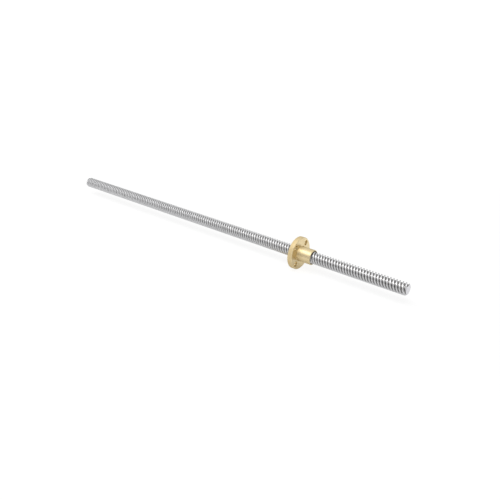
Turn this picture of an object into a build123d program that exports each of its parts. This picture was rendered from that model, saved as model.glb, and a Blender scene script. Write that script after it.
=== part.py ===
"""A 300 mm four-start trapezoidal lead screw, 8 mm across, with its flanged brass nut.

Millimetres. The screw's axis is the X axis: its tail end is at the origin and its drive end at
+X. The nut sits on it with its long hub towards the drive end and its flange on the far side of
the hub. The screw is drawn at the outside diameter of its thread, and the nut's bore clears it.
"""

from build123d import *
import os

# The screw
SCREW_LENGTH = 300.0
THREAD_DIAMETER = 8.0
END_CHAMFER = 1.0

# The nut's bore and hub
RUNNING_CLEARANCE = 0.08
HUB_WALL = 1.02
HUB_LENGTH = 10.0
HUB_CHAMFER = 0.4
STUB_LENGTH = 1.5
BORE_CHAMFER = 0.4

# The nut's flange, from the hub outwards
FLANGE_THICKNESS = 3.5
FLANGE_CHAMFER = 0.4
WEB_INSIDE_HOLES = 1.15
SCREW_HOLE_DIAMETER = 3.5
RIM_OUTSIDE_HOLES = 1.25
SCREW_HOLE_COUNT = 4
FIRST_HOLE_ANGLE = 45.0

# Where the nut stands: the bare thread between its hub and the drive end
BARE_THREAD_AT_DRIVE_END = 66.0

# Radii that follow from the sizes above, from the axis outwards
screw_radius = THREAD_DIAMETER / 2
bore_radius = screw_radius + RUNNING_CLEARANCE
hub_radius = bore_radius + HUB_WALL
hole_radius = SCREW_HOLE_DIAMETER / 2
hole_circle_radius = hub_radius + WEB_INSIDE_HOLES + hole_radius
flange_radius = hole_circle_radius + hole_radius + RIM_OUTSIDE_HOLES

# Places along the axis, from the drive end back
hub_end = SCREW_LENGTH - BARE_THREAD_AT_DRIVE_END
flange_seat = hub_end - HUB_LENGTH
flange_back = flange_seat - FLANGE_THICKNESS
stub_end = flange_back - STUB_LENGTH


def turned(outline):
    """The solid that a lathe makes about the X axis from half of its section, as (x, radius)."""
    return revolve(make_face(Polyline(*outline, close=True)), Axis.X)


def lead_screw():
    """The bar: one cylinder, chamfered at both ends."""
    end_radius = screw_radius - END_CHAMFER
    return turned(
        [
            (0, 0),
            (0, end_radius),
            (END_CHAMFER, screw_radius),
            (SCREW_LENGTH - END_CHAMFER, screw_radius),
            (SCREW_LENGTH, end_radius),
            (SCREW_LENGTH, 0),
        ]
    )


def nut_blank():
    """The nut as turned: stub, flange and hub round one bore, with every outer edge broken."""
    bore_mouth = bore_radius + BORE_CHAMFER
    return turned(
        [
            (stub_end, bore_mouth),
            (stub_end, hub_radius - HUB_CHAMFER),
            (stub_end + HUB_CHAMFER, hub_radius),
            (flange_back, hub_radius),
            (flange_back, flange_radius - FLANGE_CHAMFER),
            (flange_back + FLANGE_CHAMFER, flange_radius),
            (flange_seat - FLANGE_CHAMFER, flange_radius),
            (flange_seat, flange_radius - FLANGE_CHAMFER),
            (flange_seat, hub_radius),
            (hub_end - HUB_CHAMFER, hub_radius),
            (hub_end, hub_radius - HUB_CHAMFER),
            (hub_end, bore_mouth),
            (hub_end - BORE_CHAMFER, bore_radius),
            (stub_end + BORE_CHAMFER, bore_radius),
        ]
    )


def screw_holes():
    """The drilled holes through the flange, evenly spaced on their circle."""
    flange_middle = Plane.YZ.offset((flange_back + flange_seat) / 2)
    places = PolarLocations(hole_circle_radius, SCREW_HOLE_COUNT, FIRST_HOLE_ANGLE)
    drill = Cylinder(hole_radius, 2 * FLANGE_THICKNESS)
    return [flange_middle * place * drill for place in places]


def flange_nut():
    """The brass nut with its screw holes drilled."""
    return nut_blank() - screw_holes()


parts = {
    "lead_screw": lead_screw(),
    "flange_nut": flange_nut(),
}

os.makedirs("parts", exist_ok=True)
for name, solid in parts.items():
    export_step(solid, f"parts/{name}.step")
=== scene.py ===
"""Dresses a 300 mm four-start trapezoidal lead screw and its flanged brass nut.

Metres throughout, with sizes written in millimetres times mm. The screw's axis is the X axis.
"""

import math

import bmesh
import bpy
import numpy as np
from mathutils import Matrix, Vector


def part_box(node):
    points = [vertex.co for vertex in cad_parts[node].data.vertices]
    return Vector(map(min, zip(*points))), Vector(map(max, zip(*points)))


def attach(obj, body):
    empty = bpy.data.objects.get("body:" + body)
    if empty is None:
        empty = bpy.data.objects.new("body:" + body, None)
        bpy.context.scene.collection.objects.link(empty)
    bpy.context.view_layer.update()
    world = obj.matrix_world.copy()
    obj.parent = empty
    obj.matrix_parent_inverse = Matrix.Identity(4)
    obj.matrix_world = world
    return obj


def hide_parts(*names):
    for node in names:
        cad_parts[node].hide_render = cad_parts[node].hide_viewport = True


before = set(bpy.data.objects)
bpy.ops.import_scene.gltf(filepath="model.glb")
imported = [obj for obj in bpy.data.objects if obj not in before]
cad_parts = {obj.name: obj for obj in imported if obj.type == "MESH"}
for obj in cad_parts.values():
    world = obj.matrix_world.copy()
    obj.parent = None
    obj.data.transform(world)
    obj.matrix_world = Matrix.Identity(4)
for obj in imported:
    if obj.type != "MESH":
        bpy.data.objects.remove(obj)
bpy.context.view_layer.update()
mm = 0.001


# The lead screw
# A bar of bright stainless steel, 8 mm across, with a four-start trapezoidal thread rolled into it
# from end to end: 2 mm from crest to crest, 8 mm forward in a turn, right-handed. Both ends are cut
# square and chamfered.

thread_pitch = 2 * mm
thread_starts = 4
thread_offset = 0.3 * mm
thread_lead = thread_pitch * thread_starts
thread_depth = 0.95 * mm
flank_angle = math.radians(15)
flank_run = thread_depth * math.tan(flank_angle)
crest_width = 0.366 * thread_pitch
crest_rounding = 0.09 * mm
root_rounding = 0.15 * mm
end_chamfer = 1.0 * mm

screw_low, screw_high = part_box("lead_screw")
screw_radius = round((screw_high.z - screw_low.z) / 2, 4)
root_radius = screw_radius - thread_depth
end_face_radius = screw_radius - end_chamfer
screw_columns = 46
screw_crease = math.radians(42)
merge_distance = 0.0005 * mm


def rounded(corners, radii, steps=2):
    """An open outline with each inner corner swapped for an arc tangent to its two sides.

    The arc's ends lie radius * tan(half the turn) from the corner, and its points are turned evenly
    about its centre. The first and last corners only give directions and are left out.
    """
    points = []
    for before, corner, after, radius in zip(corners, corners[1:], corners[2:], radii):
        inward = (corner - before) / np.linalg.norm(corner - before)
        outward = (after - corner) / np.linalg.norm(after - corner)
        turn = math.atan2(inward[0] * outward[1] - inward[1] * outward[0], inward @ outward)
        start = corner - inward * radius * math.tan(abs(turn) / 2)
        for part in np.linspace(0, turn, steps + 1):
            chord = 2 * radius * math.sin(abs(part) / 2)
            heading = math.atan2(inward[1], inward[0]) + part / 2
            points.append(start + chord * np.array([math.cos(heading), math.sin(heading)]))
    return np.array(points)


def thread_outline():
    """One pitch of the thread in section, as (place along the axis, radius).

    It runs over the crest, down a flank, along the root and up the next flank.
    """
    crest_end = crest_width / 2
    root_start = crest_end + flank_run
    root_end = thread_pitch - root_start
    next_crest = thread_pitch - crest_end
    corners = np.array(
        [
            (-root_start, root_radius),
            (-crest_end, screw_radius),
            (crest_end, screw_radius),
            (root_start, root_radius),
            (root_end, root_radius),
            (next_crest, screw_radius),
        ]
    )
    return rounded(corners, [crest_rounding, crest_rounding, root_rounding, root_rounding])


def threaded_surface(start, end, columns, trim, rim_radius):
    """The helical surface of the thread between two planes, as points and triangles.

    A row winds along the thread and a column lies in one half-plane through the axis: at angle t
    the place along the axis is u + lead * t / (2 pi), and the radius is the outline's at u, trimmed
    by the end cones. After a full turn a row meets the one that is four pitches on. Rows that run
    past an end are drawn together into that end's rim. The rims are the last two rings of points.
    """
    outline = thread_outline()
    first = math.floor((start - thread_lead) / thread_pitch) - 1
    last = math.ceil(end / thread_pitch) + thread_starts + 1
    pitches = np.arange(first, last + 1) * thread_pitch + thread_offset
    along = (pitches[:, None] + outline[None, :, 0]).ravel()
    radii = np.tile(outline[:, 1], len(pitches))
    share = np.arange(columns) / columns
    angle = 2 * math.pi * share

    x = along[:, None] + thread_lead * share[None, :]
    radius = trim(x, np.broadcast_to(radii[:, None], x.shape))
    points = np.stack([x, radius * np.cos(angle), radius * np.sin(angle)], axis=-1)
    rim = rim_radius * np.stack([np.zeros(columns), np.cos(angle), np.sin(angle)], axis=-1)
    rims = [rim + (place, 0, 0) for place in (start, end)]

    rows = len(along)
    column = np.arange(columns)
    number = np.arange(rows * columns).reshape(rows, columns)
    number = np.where(x <= start, rows * columns + column, number)
    number = np.where(x >= end, (rows + 1) * columns + column, number)
    turn_on = thread_starts * len(outline)
    here = number[:-turn_on]
    there = np.concatenate([number[:-turn_on, 1:], number[turn_on:, :1]], axis=1)
    corner_a, corner_b = here[:-1], here[1:]
    corner_d, corner_c = there[:-1], there[1:]
    triangles = np.concatenate(
        [
            np.stack([corner_a, corner_b, corner_c], axis=-1).reshape(-1, 3),
            np.stack([corner_a, corner_c, corner_d], axis=-1).reshape(-1, 3),
        ]
    )
    a, b, c = triangles.T
    triangles = triangles[(a != b) & (b != c) & (c != a)]
    return np.concatenate([points.reshape(-1, 3), *rims]), triangles


def make_piece(name, points, faces, crease):
    """A closed mesh object at the origin, its faces outwards and smooth up to the crease angle.

    Loose points are deleted, and points that lie in one place are merged.
    """
    mesh = bpy.data.meshes.new(name)
    mesh.from_pydata(points, [], faces)
    shell = bmesh.new()
    shell.from_mesh(mesh)
    bmesh.ops.delete(shell, geom=[v for v in shell.verts if not v.link_faces], context="VERTS")
    bmesh.ops.remove_doubles(shell, verts=shell.verts, dist=merge_distance)
    bmesh.ops.recalc_face_normals(shell, faces=shell.faces)
    shell.to_mesh(mesh)
    shell.free()
    mesh.shade_smooth()
    mesh.set_sharp_from_angle(angle=crease)
    piece = bpy.data.objects.new(name, mesh)
    bpy.context.scene.collection.objects.link(piece)
    return piece


def screw_trim(x, radius):
    """The thread cut down to the 45 degree cone at each end."""
    from_end = np.minimum(x - screw_low.x, screw_high.x - x)
    return np.minimum(radius, end_face_radius + np.maximum(from_end, 0))


def screw_mesh():
    """The threaded bar, its flat ends closed by fans from their rims to points on the axis."""
    points, triangles = threaded_surface(
        screw_low.x, screw_high.x, screw_columns, screw_trim, end_face_radius
    )
    centres = np.array([(screw_low.x, 0, 0), (screw_high.x, 0, 0)])
    fans = []
    for end in (0, 1):
        rim = len(points) - (2 - end) * screw_columns + np.arange(screw_columns)
        centre = np.full(screw_columns, len(points) + end)
        fans.append(np.stack([rim, np.roll(rim, -1), centre], axis=-1))
    points = np.concatenate([points, centres])
    faces = np.concatenate([triangles, *fans])
    return make_piece("threaded_bar", points.tolist(), faces.tolist(), screw_crease)


class Signal:
    """A number in a material's nodes.

    Arithmetic on it adds Math nodes, so a mask reads as a formula.
    """

    def __init__(self, finish, socket):
        self.finish = finish
        self.socket = socket

    def math(self, operation, *values):
        """What a Math node makes of these values."""
        return self.finish.node("ShaderNodeMath", {"operation": operation}, dict(enumerate(values)))

    def clamped(self):
        """The same number, held between 0 and 1."""
        return self.finish.node("ShaderNodeClamp", inputs={0: self})

    def output(self, name):
        """Another output of the same node."""
        return Signal(self.finish, self.socket.node.outputs[name])

    def __add__(self, other):
        return self.math("ADD", self, other)

    def __radd__(self, other):
        return self.math("ADD", other, self)

    def __sub__(self, other):
        return self.math("SUBTRACT", self, other)

    def __rsub__(self, other):
        return self.math("SUBTRACT", other, self)

    def __mul__(self, other):
        return self.math("MULTIPLY", self, other)

    def __rmul__(self, other):
        return self.math("MULTIPLY", other, self)

    def __truediv__(self, other):
        return self.math("DIVIDE", self, other)

    def __pow__(self, other):
        return self.math("POWER", self, other)


class Finish:
    """The nodes of one material, or of the world, added one by one."""

    def __init__(self, owner):
        owner.use_nodes = True
        self.owner = owner
        self.tree = owner.node_tree

    def node(self, kind, settings=None, inputs=None, output=0):
        """A new node of this kind: first its settings, then the values or links of its sockets."""
        made = self.tree.nodes.new(kind)
        for name, value in (settings or {}).items():
            setattr(made, name, value)
        self.feed(made, inputs or {})
        return Signal(self, made.outputs[output])

    def feed(self, node, inputs):
        """Sets a node's sockets, by name or number, to values or links them to signals."""
        for name, value in inputs.items():
            if isinstance(value, Signal):
                self.tree.links.new(value.socket, node.inputs[name])
            else:
                node.inputs[name].default_value = value

    def mix(self, amount, colour_a, colour_b):
        """Colour a where the amount is 0 and colour b where it is 1."""
        return self.node(
            "ShaderNodeMix", {"data_type": "RGBA"}, {0: amount, 6: colour_a, 7: colour_b}, output=2
        )

    def noise(self, scaled_place, detail=3.0, roughness=0.5):
        """Soft noise, about 0.5, whose grain is one unit of the scaled place."""
        return self.node(
            "ShaderNodeTexNoise",
            inputs={"Vector": scaled_place, "Scale": 1.0, "Detail": detail, "Roughness": roughness},
        )

    def grained(self, place, grain, **settings):
        """Soft noise in space, whose grain has this size along each axis."""
        scaled = self.node("ShaderNodeVectorMath", {"operation": "DIVIDE"}, {0: place, 1: grain})
        return self.noise(scaled, **settings)

    def streaked(self, across, along):
        """Soft noise that changes with two numbers only, so that it follows what they measure."""
        return self.noise(self.node("ShaderNodeCombineXYZ", inputs={0: across, 1: along}))

    def surface(self, **inputs):
        """Feeds the material's shader, with underscores for the spaces in its socket names."""
        named = {name.replace("_", " "): value for name, value in inputs.items()}
        self.feed(self.tree.nodes["Principled BSDF"], named)


def rolled_steel():
    """Bright rolled stainless steel, worn in blotches, with a fine seam along each crest.

    The roots are smooth and painted dark, partly soil and partly painted shade, and the ends are
    turned. The rolling marks follow the thread.
    Across it, a point's distance from the nearest crest's middle is that of
    (x - offset) / pitch - starts * angle / (2 pi) from the nearest whole number, in pitches. The
    marks' width and half the seam's are in pitches too.
    """
    bright = (0.715, 0.715, 0.725, 1)
    worn = (0.59, 0.59, 0.595, 1)
    cut = (0.76, 0.755, 0.785, 1)
    groove_shade_and_soil = (0.23, 0.225, 0.22, 1)
    mark_width = 0.03
    mark_length = 1.5 * mm
    mark_height = 0.012 * mm
    seam_half_width = 0.022
    ring_width = 0.12 * mm
    ring_length = 0.4 * mm
    face_fade = 0.05 * mm
    cone_fade = 0.1 * mm
    blotch_size = (6 * mm, 3 * mm, 3 * mm)
    finish = Finish(bpy.data.materials.new("rolled_steel"))
    place = finish.node("ShaderNodeTexCoord", output="Object")
    x = finish.node("ShaderNodeSeparateXYZ", inputs={0: place})
    y = x.output("Y")
    z = x.output("Z")
    radius = (y * y + z * z) ** 0.5
    angle = z.math("ARCTAN2", z, y)

    pitches = (x - thread_offset) / thread_pitch - angle * (thread_starts / (2 * math.pi)) + 0.5
    across = x.math("ABSOLUTE", x.math("FRACT", pitches) - 0.5)
    marks = finish.streaked(across / mark_width, x / mark_length)
    seam = (1 - across / seam_half_width).clamped() * (marks * 2).clamped()

    from_end = x.math("MINIMUM", x - screw_low.x, screw_high.x - x)
    face = (1 - from_end / face_fade).clamped()
    cone = ((radius - from_end - end_face_radius) / cone_fade + 1.3).clamped()
    turned = x.math("MAXIMUM", face, cone)
    rolled = 1 - turned
    rings = finish.streaked(radius / ring_width, x / ring_length)
    grain = marks * rolled + rings * turned

    groove = ((screw_radius - radius) / thread_depth).clamped() * rolled
    blotches = finish.grained(place, blotch_size)
    wear = (blotches * 1.2 + grain * 0.8 - 0.6 + (grain - 0.5) * turned).clamped() * 0.7
    steel = finish.mix(wear, finish.mix(turned, bright, cut), worn)
    # Painted shade in the grooves, partly soil: the colour darkens with depth, unevenly in blotches.
    painted_shade_and_dark_marks = ((groove * 1.7 - 0.7).clamped() * (0.6 + 0.5 * blotches + 0.3 * marks)).clamped()
    # The crest's seam joins it as a dark mark.
    painted_shade_and_dark_marks = x.math("MAXIMUM", painted_shade_and_dark_marks, 0.45 * seam * rolled)
    colour = finish.mix(painted_shade_and_dark_marks, steel, groove_shade_and_soil)
    relief = grain * (0.6 + 0.4 * turned) - seam * rolled
    bump = finish.node(
        "ShaderNodeBump", inputs={"Strength": 0.5, "Distance": mark_height, "Height": relief}
    )
    finish.surface(
        Base_Color=colour,
        Metallic=1.0,
        Roughness=0.34 + (0.12 + 0.15 * turned) * grain - 0.24 * groove,
        Normal=bump,
    )
    return finish.owner


threaded_bar = screw_mesh()
threaded_bar.data.materials.append(rolled_steel())
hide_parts("lead_screw")
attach(threaded_bar, "screw")


# The flanged nut
# One piece of brass, turned on a lathe: a short stub, a flange 22 mm across with four drilled screw
# holes, and a long hub, with the screw's thread cut right through. Every edge is broken, and the
# tool has left fine rings on the faces.

hub_radius = 5.1 * mm
hub_length = 10 * mm
stub_length = 1.5 * mm
hub_chamfer = 0.4 * mm
flange_chamfer = 0.4 * mm
corner_rounding = 0.2 * mm
edge_rounding = 0.06 * mm
thread_clearance = 0.08 * mm
mouth_chamfer = 0.48 * mm
mouth_radius = screw_radius + thread_clearance + mouth_chamfer
hole_circle_radius = 8 * mm
hole_radius = 1.75 * mm
hole_edge_break = 0.12 * mm
hole_count = 4
hole_zone_inside = 5.7 * mm
hole_zone_outside = 10.3 * mm

nut_low, nut_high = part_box("flange_nut")
flange_radius = round((nut_high.z - nut_low.z) / 2, 4)
flange_back = nut_low.x + stub_length
flange_front = nut_high.x - hub_length
nut_columns = 96
nut_crease = math.radians(38)


def grid_faces(rows, columns):
    """The quads of a grid of points whose last column joins the first."""
    number = np.arange(rows * columns).reshape(rows, columns)
    number = np.concatenate([number, number[:, :1]], axis=1)
    quads = np.stack([number[:-1, :-1], number[1:, :-1], number[1:, 1:], number[:-1, 1:]], axis=-1)
    return quads.reshape(-1, 4)


def turned_surface(outline):
    """An outline of (x, radius) swept round the axis: y is radius * cos t, z is radius * sin t."""
    angle = 2 * math.pi * np.arange(nut_columns) / nut_columns
    x = np.broadcast_to(outline[:, :1], (len(outline), nut_columns))
    y = outline[:, 1:] * np.cos(angle)
    z = outline[:, 1:] * np.sin(angle)
    points = np.stack([x, y, z], axis=-1).reshape(-1, 3)
    return points, grid_faces(len(outline), nut_columns)


def turned_run(corners, radii):
    """The turned surface from the first to the last of these corners, the others rounded."""
    corners = np.array(corners)
    outline = np.concatenate([corners[:1], rounded(corners, radii), corners[-1:]])
    return turned_surface(outline)


def hole_rim(middle_angle, radial_steps=8):
    """The outline of one hole's share of the flange, in the plane of the flange.

    It runs out along a radius, round the outside, back in along the next radius and round the
    inside, with the same spacing on its arcs as the turned surfaces have.
    """
    half = math.pi / hole_count
    arc_steps = nut_columns // hole_count
    sweep = np.linspace(-half, half, arc_steps + 1)
    reach = np.linspace(hole_zone_inside, hole_zone_outside, radial_steps + 1)
    angle = middle_angle + np.concatenate(
        [
            np.full(radial_steps, -half),
            sweep[:-1],
            np.full(radial_steps, half),
            sweep[:0:-1],
        ]
    )
    radius = np.concatenate(
        [
            reach[:-1],
            np.full(arc_steps, hole_zone_outside),
            reach[:0:-1],
            np.full(arc_steps, hole_zone_inside),
        ]
    )
    return np.stack([radius * np.cos(angle), radius * np.sin(angle)], axis=-1)


def drilled_surface(middle_angle, face_loops=5):
    """One screw hole and the flange round it, from the back face through the hole to the front face.

    A row is a loop round the hole. On a face, the loops run in even steps from the rim of the
    hole's share to the hole, each point straight towards the hole's centre. In the hole they are
    circles.
    """
    rim = hole_rim(middle_angle)
    centre = hole_circle_radius * np.array([math.cos(middle_angle), math.sin(middle_angle)])
    away = (rim - centre) / np.linalg.norm(rim - centre, axis=1, keepdims=True)
    mouth = centre + away * (hole_radius + hole_edge_break)
    wall = centre + away * hole_radius
    across = np.linspace(0, 1, face_loops)[:, None, None]
    face = rim + (mouth - rim) * across
    loops = [*face, wall, wall, *face[::-1]]
    places = [flange_back] * face_loops
    places += [flange_back + hole_edge_break, flange_front - hole_edge_break]
    places += [flange_front] * face_loops
    points = [
        np.column_stack([np.full(len(rim), place), loop]) for loop, place in zip(loops, places)
    ]
    return np.concatenate(points), grid_faces(len(loops), len(rim))


def nut_trim(x, radius):
    """The internal thread, evenly clear of the screw's, opened by a 45 degree cone at each end."""
    from_end = np.minimum(x - nut_low.x, nut_high.x - x)
    return np.maximum(radius + thread_clearance, mouth_radius - np.maximum(from_end, 0))


def nut_mesh():
    """The nut, joined from its turned outside in three runs, its drilled flange and its thread.

    The stub and the hub have the same radius. The runs leave out the zone of the screw holes on
    both faces of the flange, which the drilled surfaces fill.
    """
    back, front = flange_back, flange_front
    stub = [
        (nut_low.x, mouth_radius),
        (nut_low.x, hub_radius - hub_chamfer),
        (nut_low.x + hub_chamfer, hub_radius),
        (back, hub_radius),
        (back, hole_zone_inside),
    ]
    rim = [
        (back, hole_zone_outside),
        (back, flange_radius - flange_chamfer),
        (back + flange_chamfer, flange_radius),
        (front - flange_chamfer, flange_radius),
        (front, flange_radius - flange_chamfer),
        (front, hole_zone_outside),
    ]
    hub = [
        (front, hole_zone_inside),
        (front, hub_radius),
        (nut_high.x - hub_chamfer, hub_radius),
        (nut_high.x, hub_radius - hub_chamfer),
        (nut_high.x, mouth_radius),
    ]
    surfaces = [
        turned_run(stub, [edge_rounding, edge_rounding, corner_rounding]),
        turned_run(rim, [edge_rounding] * 4),
        turned_run(hub, [corner_rounding, edge_rounding, edge_rounding]),
    ]
    for hole in range(hole_count):
        surfaces.append(drilled_surface(2 * math.pi * (hole + 0.5) / hole_count))
    surfaces.append(threaded_surface(nut_low.x, nut_high.x, nut_columns, nut_trim, mouth_radius))

    points, faces = [], []
    for some_points, some_faces in surfaces:
        faces += (some_faces + len(points)).tolist()
        points += some_points.tolist()
    return make_piece("turned_nut", points, faces, nut_crease)


def turned_brass():
    """Pale turned brass: fine tool rings, duller round walls, a soft bloom, and broken edges painted
    paler with less tarnish, partly as rubbed wear and partly as a painted highlight.

    Where the nut's thread begins it is painted dark, partly grease and partly painted shade in the
    bore and over its mouths. An edge is a corner of the turned section, at the flange's radius or
    the hub's and at either end of that run.
    """
    pale = (0.765, 0.64, 0.395, 1)
    deep = (0.66, 0.525, 0.295, 1)
    painted_shade_and_dark_marks = (0.10, 0.075, 0.04, 1)
    bore_shade_radius = screw_radius + 0.75 * mm
    bore_shade_fade = 0.35 * mm
    edge_fade = 0.35 * mm
    rim_fade = 0.3 * mm
    rim_dullness = 0.34
    hub_fade = 0.2 * mm
    hub_dullness = 0.12
    ring_width = 0.1 * mm
    ring_height = 0.02 * mm
    bloom_size = (4 * mm, 4 * mm, 4 * mm)
    finish = Finish(bpy.data.materials.new("turned_brass"))
    place = finish.node("ShaderNodeTexCoord", output="Object")
    x = finish.node("ShaderNodeSeparateXYZ", inputs={0: place})
    y = x.output("Y")
    z = x.output("Z")
    radius = (y * y + z * z) ** 0.5

    bloom = finish.grained(place, bloom_size, detail=5.0, roughness=0.6)
    rings = finish.streaked(x / ring_width, radius / ring_width)
    in_bore = ((bore_shade_radius - radius) / bore_shade_fade).clamped()
    on_rim = ((radius - flange_radius) / rim_fade + 1.5).clamped()
    on_hub = (1.8 - x.math("ABSOLUTE", radius - hub_radius) / hub_fade).clamped()
    dullness = rim_dullness * on_rim + hub_dullness * on_hub

    def edge(run_radius, run_low, run_high):
        """1 near both ends of a run of this radius, and 0 away from them."""
        beyond = x.math("ABSOLUTE", x - (run_low + run_high) / 2) - (run_high - run_low) / 2
        gap = (beyond ** 2 + (radius - run_radius) ** 2) ** 0.5
        return (1.6 - gap / edge_fade).clamped()

    edges = edge(flange_radius, flange_back, flange_front) + edge(hub_radius, nut_low.x, nut_high.x)

    # Broken edges take less tarnish and come out paler: partly rubbed wear, partly painted
    # highlight.
    tarnish = (bloom * 1.4 + rings * 1.1 - 0.85 - 0.5 * edges).clamped()
    brass = finish.mix(tarnish, pale, deep)
    # Painted dark in the bore and over its mouths: partly grease, partly painted shade.
    colour = finish.mix(in_bore * 0.85, brass, painted_shade_and_dark_marks)
    bump = finish.node(
        "ShaderNodeBump", inputs={"Strength": 0.7, "Distance": ring_height, "Height": rings}
    )
    finish.surface(
        Base_Color=colour,
        Metallic=1.0,
        Roughness=0.17 + dullness + 0.24 * rings + 0.1 * bloom - 0.05 * edges,
        Normal=bump,
    )
    return finish.owner


turned_nut = nut_mesh()
turned_nut.data.materials.append(turned_brass())
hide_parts("flange_nut")
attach(turned_nut, "nut")


# The table
# A plain white surface that the screw lies on, wide enough to fill the view.

table_half_width = 8000 * mm
table_height = nut_low.z
screw_middle = 150 * mm

table_mesh = bpy.data.meshes.new("table")
table_corners = [(-1, -1), (1, -1), (1, 1), (-1, 1)]
table_mesh.from_pydata(
    [(table_half_width * a, table_half_width * b, table_height) for a, b in table_corners],
    [],
    [(0, 1, 2, 3)],
)
table = bpy.data.objects.new("table", table_mesh)
bpy.context.scene.collection.objects.link(table)


def seen_or_mirrored(finish):
    """1 for what the camera sees itself or in metal, 0 for what only lights the scene."""
    seen = finish.node("ShaderNodeLightPath", output="Is Camera Ray")
    return (seen + seen.output("Is Glossy Ray") + seen.output("Is Transmission Ray")).clamped()


def white_card():
    """Matt white card, seen as plain white with a share of its own shading near the screw.

    The camera sees that share fade out round the object. Metal mirrors it only right beside the
    bar.
    """
    white = (0.86, 0.86, 0.86, 1)
    around_fade = 350 * mm
    beside_middle = -6 * mm
    beside_fade = 18 * mm
    share_seen = 0.25
    share_mirrored = 0.68
    plain_white = 1.15
    finish = Finish(bpy.data.materials.new("white_card"))
    place = finish.node("ShaderNodeTexCoord", output="Object")
    x = finish.node("ShaderNodeSeparateXYZ", inputs={0: place})
    y = x.output("Y")
    around = (1.6 - ((x - screw_middle) ** 2 + y ** 2) ** 0.5 / around_fade).clamped()
    beside = (1.3 - x.math("ABSOLUTE", y - beside_middle) / beside_fade).clamped()
    camera_ray = finish.node("ShaderNodeLightPath", output="Is Camera Ray")
    seen = seen_or_mirrored(finish)
    shaded = share_seen * around * camera_ray + share_mirrored * beside * (seen - camera_ray)
    glow = finish.node("ShaderNodeEmission", inputs={"Strength": plain_white})
    finish.surface(Base_Color=white, Roughness=1.0, Specular_IOR_Level=0.0)
    card = finish.tree.nodes["Principled BSDF"].outputs[0]
    mixed = finish.node(
        "ShaderNodeMixShader", inputs={0: seen - shaded, 1: Signal(finish, card), 2: glow}
    )
    finish.feed(finish.tree.nodes["Material Output"], {"Surface": mixed})
    return finish.owner


table.data.materials.append(white_card())


# The light
# One wide soft lamp over the screw, a little to the camera's side, in a white surround. Metal
# mirrors the surround darker low down: most in front, where the photographer's room is, and less
# behind and on the right. Its left is a little darker all the way up.

lamp_data = bpy.data.lights.new("overhead_lamp", "AREA")
lamp_data.shape = "RECTANGLE"
lamp_data.size = 900 * mm
lamp_data.size_y = 300 * mm
lamp_data.energy = 2.5
lamp = bpy.data.objects.new("overhead_lamp", lamp_data)
bpy.context.scene.collection.objects.link(lamp)
lamp_elevation = math.radians(68)
lamp_distance = 700 * mm
toward_lamp = Vector((0, -math.cos(lamp_elevation), math.sin(lamp_elevation)))
lamp.location = Vector((screw_middle, 0, 0)) + toward_lamp * lamp_distance
lamp.rotation_mode = "QUATERNION"
lamp.rotation_quaternion = (-toward_lamp).to_track_quat("-Z", "Y")

surround = Finish(bpy.data.worlds.new("surround"))
bpy.context.scene.world = surround.owner
ambient = 0.4
direction = surround.node("ShaderNodeTexCoord", output="Generated")
toward_x = surround.node("ShaderNodeSeparateXYZ", inputs={0: direction})
toward_y = toward_x.output("Y")
toward_z = toward_x.output("Z")

in_front = (-2.5 * toward_y).clamped() * (1 - (toward_x / 0.8) ** 2).clamped()
behind = (2.5 * toward_y).clamped()
left = (-2 * toward_x - 0.9).clamped()
right = (2.5 * toward_x - 1.25).clamped()
low_down = (1 - ((toward_z - 0.1) / 0.38) ** 2).clamped()
darker = (0.88 * in_front + 0.6 * behind + 0.45 * right) * low_down + 0.3 * left

seen = seen_or_mirrored(surround)
mirrored = seen - surround.node("ShaderNodeLightPath", output="Is Camera Ray")
surround.feed(
    surround.tree.nodes["Background"],
    {"Color": (1, 1, 1, 1), "Strength": ambient + (1 - ambient) * seen - darker * mirrored},
)


# The camera
# It stands to the right of the screw's middle and looks down on it, as the photograph does.

view_azimuth = math.radians(38.55)
view_elevation = math.radians(26.52)
look_at = Vector((184.9 * mm, -4.9 * mm, -7.7 * mm))
view_distance = 396.8 * mm

camera_data = bpy.data.cameras.new("camera")
camera_data.lens = 40.77
camera_data.sensor_width = 36
camera_data.clip_start = 10 * mm
camera = bpy.data.objects.new("camera", camera_data)
bpy.context.scene.collection.objects.link(camera)
toward_camera = Vector(
    (
        math.sin(view_azimuth) * math.cos(view_elevation),
        -math.cos(view_azimuth) * math.cos(view_elevation),
        math.sin(view_elevation),
    )
)
camera.location = look_at + toward_camera * view_distance
camera.rotation_mode = "QUATERNION"
camera.rotation_quaternion = (-toward_camera).to_track_quat("-Z", "Y")
bpy.context.scene.camera = camera

bpy.context.scene.view_settings.view_transform = "Standard"
